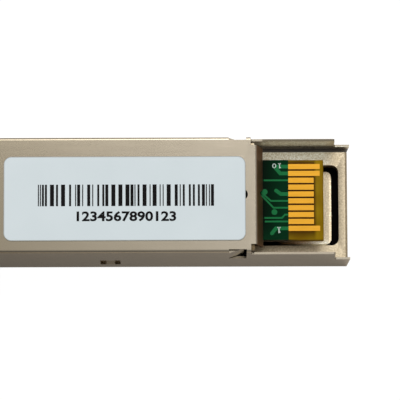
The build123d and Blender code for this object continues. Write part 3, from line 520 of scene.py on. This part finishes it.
# Thermal pad: soft silicone sheet, filled with ceramic powder, pressed between chip and base.
# Chalky and dull, with the filler's grains just visible.
compound = start_material("filled_silicone_sheet")
place = add_node(compound, "ShaderNodeTexCoord").outputs["Object"]
filler = add_node(compound, "ShaderNodeTexNoise",
                  {"Vector": place, "Scale": per_mm(0.1), "Detail": 4.0})
tone = add_node(compound, "ShaderNodeMix",
                {0: filler.outputs["Fac"], 6: linear("#66757C"), 7: linear("#8799A1")},
                data_type="RGBA")
close_material(compound, add_node(compound, "ShaderNodeBsdfPrincipled", {
    "Base Color": tone.outputs[2], "Roughness": 0.8, "IOR": 1.41}))
dress("thermal_pad", compound, edge=0.05)


# Sheet cover: one stamped blank of cold-rolled steel, nickel plated, folded to a U and
# clicked over the base. Smooth and satin bright; long faint rolling streaks run along X.
sheet_metal = start_material("nickel_plated_cold_rolled_sheet")
place = add_node(sheet_metal, "ShaderNodeTexCoord").outputs["Object"]
stretched = add_node(sheet_metal, "ShaderNodeMapping", {"Vector": place, "Scale": (0.04, 1.0, 1.0)})
rolled = add_node(sheet_metal, "ShaderNodeTexNoise",
                  {"Vector": stretched.outputs[0], "Scale": per_mm(0.25), "Detail": 3.0})
cloud = add_node(sheet_metal, "ShaderNodeTexNoise",
                 {"Vector": place, "Scale": per_mm(4.0), "Detail": 2.0})
tone = add_node(sheet_metal, "ShaderNodeMix",
                {0: cloud.outputs["Fac"], 6: linear("#B8AD99"), 7: linear("#C6BBA8")},
                data_type="RGBA")
satin = add_node(sheet_metal, "ShaderNodeMapRange",
                 {"Value": rolled.outputs["Fac"], "To Min": 0.18, "To Max": 0.25})
# Painted shade: the nose half is painted darker and the rougher rear flange dark brown
along, across, up = add_node(sheet_metal, "ShaderNodeSeparateXYZ", {0: place}).outputs
sideways = add_node(sheet_metal, "ShaderNodeMath", {0: across}, operation="ABSOLUTE").outputs[0]
painted_falloff = within(sheet_metal, ((along, 17.0, -13.0),))
dull_shaded_flange = within(sheet_metal, ((along, 17.35, 17.6), (sideways, 6.05, 5.9),
                              (up, 8.46, 8.3), (up, 6.38, 6.62)))
# The upper edge of the far side wall is coloured a darker grey
darker_top_edge = within(sheet_metal, ((along, 18.2, 18.3), (across, 0, 1), (up, 7.1, 7.16)))
# Beside the opening, the far wall's inner face down to the deck carries a painted light in a
# bright speckle, and the gap below it a painted shade
inner_face = ((along, 17.9, 18.2), (across, 6.5, 6.55), (across, 6.72, 6.68))
painted_light_face = within(sheet_metal, (*inner_face, (up, 3.2, 3.6), (up, 7.16, 7.1)))
painted_gap_shade = within(sheet_metal, (*inner_face, (up, 3.4, 3.1)))
lit_speckle_noise = add_node(sheet_metal, "ShaderNodeTexNoise",
                     {"Vector": place, "Scale": per_mm(0.25), "Detail": 2.0})
contrast = add_node(sheet_metal, "ShaderNodeMapRange",
                    {"Value": lit_speckle_noise.outputs["Fac"], "From Min": 0.38, "From Max": 0.62})
lit_speckle = add_node(sheet_metal, "ShaderNodeMix",
                     {0: contrast.outputs[0], 6: linear("#D3C9A6"), 7: linear("#FFFCEA")},
                     data_type="RGBA").outputs[2]
finish = tone.outputs[2]
# Over the sheet's tone go the painted falloff, the darker edge, painted light and shade, flange
# shade
for zone, over in ((painted_falloff, linear("#9D927E")), (darker_top_edge, linear("#756C59")),
                   (painted_light_face, lit_speckle), (painted_gap_shade, linear("#2E2921")),
                   (dull_shaded_flange, linear("#8A6C50"))):
    finish = add_node(sheet_metal, "ShaderNodeMix", {0: zone, 6: finish, 7: over},
                      data_type="RGBA").outputs[2]
rough = add_node(sheet_metal, "ShaderNodeMix", {0: dull_shaded_flange, 2: satin.outputs[0], 3: 0.5})
close_material(sheet_metal, add_node(sheet_metal, "ShaderNodeBsdfPrincipled", {
    "Base Color": finish, "Metallic": 1.0, "Roughness": rough.outputs[0]}))
dress("shell_cover", sheet_metal, edge=0.03)


# Label: white coated film with round corners, stuck on the cover's face and over most of the
# gauge hole. Slightly cold white; its cut edge picks up grey.
film = start_material("coated_label_film")
place = add_node(film, "ShaderNodeTexCoord").outputs["Object"]
fibre = add_node(film, "ShaderNodeTexNoise", {"Vector": place, "Scale": per_mm(0.3), "Detail": 3.0})
cloud = add_node(film, "ShaderNodeTexNoise", {"Vector": place, "Scale": per_mm(6.0), "Detail": 2.0})
tone = add_node(film, "ShaderNodeMix",
                {0: cloud.outputs["Fac"], 6: linear("#DBE6E9"), 7: linear("#E5EFF2")},
                data_type="RGBA")
# The cut edge is coloured grey: a narrow grey rim that follows the round corners
least, most = (Vector(corner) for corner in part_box("label"))
corner_radius = 0.9
rim_width = 0.12
middle, reach = (least + most) / 2, (most - least) / 2
off_centre = add_node(film, "ShaderNodeVectorMath", {0: place, 1: middle}, operation="SUBTRACT")
folded = add_node(film, "ShaderNodeVectorMath", {0: off_centre.outputs[0]}, operation="ABSOLUTE")
past_core = add_node(film, "ShaderNodeVectorMath",
                     {0: folded.outputs[0],
                      1: (reach.x - corner_radius * MM, reach.y - corner_radius * MM, 1.0)},
                     operation="SUBTRACT")
outside = add_node(film, "ShaderNodeVectorMath", {0: past_core.outputs[0], 1: (0.0, 0.0, 0.0)},
                   operation="MAXIMUM")
rim = add_node(film, "ShaderNodeVectorMath", {0: outside.outputs[0]}, operation="LENGTH")
grey_rim = within(film, ((rim.outputs["Value"], corner_radius - rim_width, corner_radius),))
tone = add_node(film, "ShaderNodeMix",
                {0: grey_rim, 6: tone.outputs[2], 7: linear("#8F9088")}, data_type="RGBA")
dimple = add_node(film, "ShaderNodeBump",
                  {"Height": fibre.outputs["Fac"], "Strength": 0.08, "Distance": 0.02 * MM})
close_material(film, add_node(film, "ShaderNodeBsdfPrincipled", {
    "Base Color": tone.outputs[2], "Roughness": 0.45, "IOR": 1.48, "Normal": dimple.outputs[0]}))
dress("label", film)


# Print on the label: a made-up bar pattern and the digits in counting order, in black
# thermal-transfer ink. The bars' widths are drawn from a fixed seed and say nothing.
black_ink = start_material("black_transfer_ink")
place = add_node(black_ink, "ShaderNodeTexCoord").outputs["Object"]
fibre = add_node(black_ink, "ShaderNodeTexNoise",
                 {"Vector": place, "Scale": per_mm(0.1), "Detail": 2.0})
tone = add_node(black_ink, "ShaderNodeMix",
                {0: fibre.outputs["Fac"], 6: linear("#030203"), 7: linear("#0A0809")},
                data_type="RGBA")
close_material(black_ink, add_node(black_ink, "ShaderNodeBsdfPrincipled", {
    "Base Color": tone.outputs[2], "Roughness": 0.5, "IOR": 1.5, "Specular IOR Level": 0.1}))

# The pattern is a row of strips, end to end. Each is a random whole number of units wide, and
# every other one is inked.
label_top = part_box("label")[1][2] / MM
ink_thickness = 0.012
bars = bpy.data.node_groups.new("bar_pattern", "GeometryNodeTree")
wanted = {"Start": -7.3 * MM, "Length": 20.0 * MM, "Middle": 0.1 * MM, "Height": 2.5 * MM,
          "Level": (label_top + ink_thickness / 2) * MM, "Thickness": ink_thickness * MM}
for title in wanted:
    bars.interface.new_socket(title, in_out="INPUT", socket_type="NodeSocketFloat")
for title in ("Strips", "Widest", "Seed"):
    bars.interface.new_socket(title, in_out="INPUT", socket_type="NodeSocketInt")
bars.interface.new_socket("Ink", in_out="INPUT", socket_type="NodeSocketMaterial")
bars.interface.new_socket("Geometry", in_out="OUTPUT", socket_type="NodeSocketGeometry")
asked = add_node(bars, "NodeGroupInput").outputs
row = add_node(bars, "GeometryNodeMeshLine",
               {"Count": asked["Strips"], "Offset": (0.0, 0.0, 0.0)}, mode="OFFSET")
width = add_node(bars, "FunctionNodeRandomValue", data_type="INT")
bars.links.new(asked["Widest"], width.inputs[5])
bars.links.new(asked["Seed"], width.inputs["Seed"])
width.inputs[4].default_value = 1
units = add_node(bars, "GeometryNodeAccumulateField", {0: width.outputs[2]}, data_type="FLOAT")
unit = add_node(bars, "ShaderNodeMath",
                {0: asked["Length"], 1: units.outputs[2]}, operation="DIVIDE")
half = add_node(bars, "ShaderNodeMath", {0: width.outputs[2], 1: 0.5}, operation="MULTIPLY")
middle = add_node(bars, "ShaderNodeMath",
                  {0: units.outputs[1], 1: half.outputs[0]}, operation="ADD")
reach = add_node(bars, "ShaderNodeMath", {0: middle.outputs[0], 1: unit.outputs[0]},
                 operation="MULTIPLY")
station = add_node(bars, "ShaderNodeMath",
                   {0: reach.outputs[0], 1: asked["Start"]}, operation="ADD")
spot = add_node(bars, "ShaderNodeCombineXYZ",
                {"X": station.outputs[0], "Y": asked["Middle"], "Z": asked["Level"]})
spread = add_node(bars, "GeometryNodeSetPosition",
                  {"Geometry": row.outputs[0], "Position": spot.outputs[0]})
number = add_node(bars, "GeometryNodeInputIndex")
odd = add_node(bars, "ShaderNodeMath", {0: number.outputs[0], 1: 2.0}, operation="MODULO")
black_turn = add_node(bars, "ShaderNodeMath", {0: odd.outputs[0], 1: 0.5}, operation="LESS_THAN")
strip = add_node(bars, "ShaderNodeMath", {0: width.outputs[2], 1: unit.outputs[0]},
                 operation="MULTIPLY")
scale = add_node(bars, "ShaderNodeCombineXYZ",
                 {"X": strip.outputs[0], "Y": asked["Height"], "Z": asked["Thickness"]})
block = add_node(bars, "GeometryNodeMeshCube", {"Size": (1.0, 1.0, 1.0)})
placed = add_node(bars, "GeometryNodeInstanceOnPoints",
                  {"Points": spread.outputs[0], "Selection": black_turn.outputs[0],
                   "Instance": block.outputs[0], "Scale": scale.outputs[0]})
solid = add_node(bars, "GeometryNodeRealizeInstances", {"Geometry": placed.outputs[0]})
inked = add_node(bars, "GeometryNodeSetMaterial",
                 {"Geometry": solid.outputs[0], "Material": asked["Ink"]})
add_node(bars, "NodeGroupOutput", {"Geometry": inked.outputs[0]})

maker = bpy.data.objects.new("bar_maker", bpy.data.meshes.new("bar_maker"))
bpy.context.scene.collection.objects.link(maker)
pattern = maker.modifiers.new("bars", "NODES")
pattern.node_group = bars
given = {**wanted, "Strips": 75, "Widest": 4, "Seed": 11, "Ink": black_ink}
for item in bars.interface.items_tree:
    if item.in_out == "INPUT":
        pattern[item.identifier] = given[item.name]
printed_bars = plain_mesh(maker, "printed_bars")
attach(printed_bars, "housing")
digits = printed_text("printed_digits", "1234567890123", (-2.9, -2.93), (8.4, -1.74), label_top,
                      ink_thickness, black_ink, weight=0.03)
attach(digits, "housing")


# Bail and release slide: stainless strip, blanked, bent and tumbled; the pins are turned and
# pressed in. Cross-grained by the tumbling, with bright worn edges.
stamped = start_material("tumbled_stainless_strip")
place = add_node(stamped, "ShaderNodeTexCoord").outputs["Object"]
stretched = add_node(stamped, "ShaderNodeMapping", {"Vector": place, "Scale": (0.1, 1.0, 0.1)})
rolled = add_node(stamped, "ShaderNodeTexNoise",
                  {"Vector": stretched.outputs[0], "Scale": per_mm(0.1), "Detail": 3.0})
tone = add_node(stamped, "ShaderNodeMix",
                {0: rolled.outputs["Fac"], 6: linear("#A9A7A3"), 7: linear("#C6C4BF")},
                data_type="RGBA")
rough = add_node(stamped, "ShaderNodeMapRange",
                 {"Value": rolled.outputs["Fac"], "To Min": 0.22, "To Max": 0.4})
close_material(stamped, add_node(stamped, "ShaderNodeBsdfPrincipled", {
    "Base Color": tone.outputs[2], "Metallic": 1.0, "Roughness": rough.outputs[0]}))
dress("release_slide", stamped, edge=0.05)
dress("bail_frame", stamped, edge=0.06)
dress("pivot_pins", turned, edge=0.06)
dress("drive_pins", turned, edge=0.04)
dress("bail_grip", black, edge=0.1)


# Studio: a plain white table that keeps a soft shadow, white surroundings that grow dimmer
# towards the near side, and one broad soft lamp high on the far side, as in a light tent.
def shown_as_background(owner, kinds_of_ray):
    """How much of the plain white background a ray sees, by the kind of ray."""
    path = add_node(owner, "ShaderNodeLightPath")
    total = None
    for ray, share in kinds_of_ray:
        part = add_node(owner, "ShaderNodeMath", {0: path.outputs[ray], 1: share},
                        operation="MULTIPLY")
        if total is None:
            total = part
        else:
            total = add_node(owner, "ShaderNodeMath", {0: total.outputs[0], 1: part.outputs[0]},
                             operation="ADD", use_clamp=True)
    return total.outputs[0]


table_white = start_material("white_table")
real = add_node(table_white, "ShaderNodeBsdfDiffuse", {"Color": linear("#D0C5B6")})
blank = add_node(table_white, "ShaderNodeEmission", {"Color": (1, 1, 1, 1), "Strength": 1.1})
share = shown_as_background(
    table_white, (("Is Camera Ray", 0.9), ("Is Glossy Ray", 0.1), ("Is Transmission Ray", 0.1)))
close_material(table_white, add_node(table_white, "ShaderNodeMixShader",
                                     {0: share, 1: real.outputs[0], 2: blank.outputs[0]}))
half_table = 0.6
# The table lies a hair below the object's flat underside, so that neither shows through
table_top = -0.02 * MM
table_mesh = bpy.data.meshes.new("table")
table_mesh.from_pydata(
    [(x * half_table, y * half_table, table_top) for x, y in ((-1, -1), (1, -1), (1, 1), (-1, 1))],
    [], [(0, 1, 2, 3)])
table_mesh.materials.append(table_white)
table = bpy.data.objects.new("table", table_mesh)
bpy.context.scene.collection.objects.link(table)

tent = bpy.data.worlds.new("light_tent")
tent.use_nodes = True
tent.node_tree.nodes.clear()
facing = add_node(tent, "ShaderNodeTexCoord")
bright_side = (-0.35, 0.9, 1.0)
towards_lamp = add_node(tent, "ShaderNodeVectorMath",
                        {0: facing.outputs["Generated"], 1: bright_side},
                        operation="DOT_PRODUCT")
level = add_node(tent, "ShaderNodeMapRange",
                 {"Value": towards_lamp.outputs["Value"], "From Min": 0.1, "From Max": 1.15,
                  "To Min": 0.16, "To Max": 0.8})
plain = add_node(tent, "ShaderNodeBackground",
                 {"Color": (1, 1, 1, 1), "Strength": level.outputs[0]})
blank = add_node(tent, "ShaderNodeBackground", {"Color": (1, 1, 1, 1), "Strength": 1.0})
share = shown_as_background(
    tent, (("Is Camera Ray", 1.0), ("Is Glossy Ray", 0.1), ("Is Transmission Ray", 1.0)))
sky = add_node(tent, "ShaderNodeMixShader", {0: share, 1: plain.outputs[0], 2: blank.outputs[0]})
add_node(tent, "ShaderNodeOutputWorld", {"Surface": sky.outputs[0]})
bpy.context.scene.world = tent

key_data = bpy.data.lights.new("key", "AREA")
key_data.shape = "RECTANGLE"
key_data.size = 0.5
key_data.size_y = 0.35
key_data.energy = 1.56
key = bpy.data.objects.new("key", key_data)
key_place = Vector((0.06, 0.36, 0.46))
key_turn = key_place.to_track_quat("Z", "Y").to_matrix().to_4x4()
key.matrix_world = Matrix.Translation(key_place) @ key_turn
bpy.context.scene.collection.objects.link(key)


# Camera: a long lens from above the label side, a little towards the near side wall.
camera_data = bpy.data.cameras.new("camera")
camera_data.lens = 479.4
camera_data.sensor_width = 36.0
camera_data.clip_start = 0.05
camera_data.clip_end = 5.0
camera = bpy.data.objects.new("camera", camera_data)
target = Vector((11.111, -0.459, 8.5)) * MM
distance = 605.05 * MM
turn, rise, roll = math.radians(1.144), math.radians(77.951), math.radians(0.935)
back = Vector((-math.sin(turn) * math.cos(rise), -math.cos(turn) * math.cos(rise), math.sin(rise)))
right = Vector((math.cos(turn), -math.sin(turn), 0))
up = back.cross(right)
rolled_right = right * math.cos(roll) + up * math.sin(roll)
rolled_up = up * math.cos(roll) - right * math.sin(roll)
camera.matrix_world = Matrix.Translation(target + back * distance) @ Matrix(
    (rolled_right, rolled_up, back)).transposed().to_4x4()
bpy.context.scene.collection.objects.link(camera)
bpy.context.scene.camera = camera
bpy.context.scene.view_settings.view_transform = "Standard"
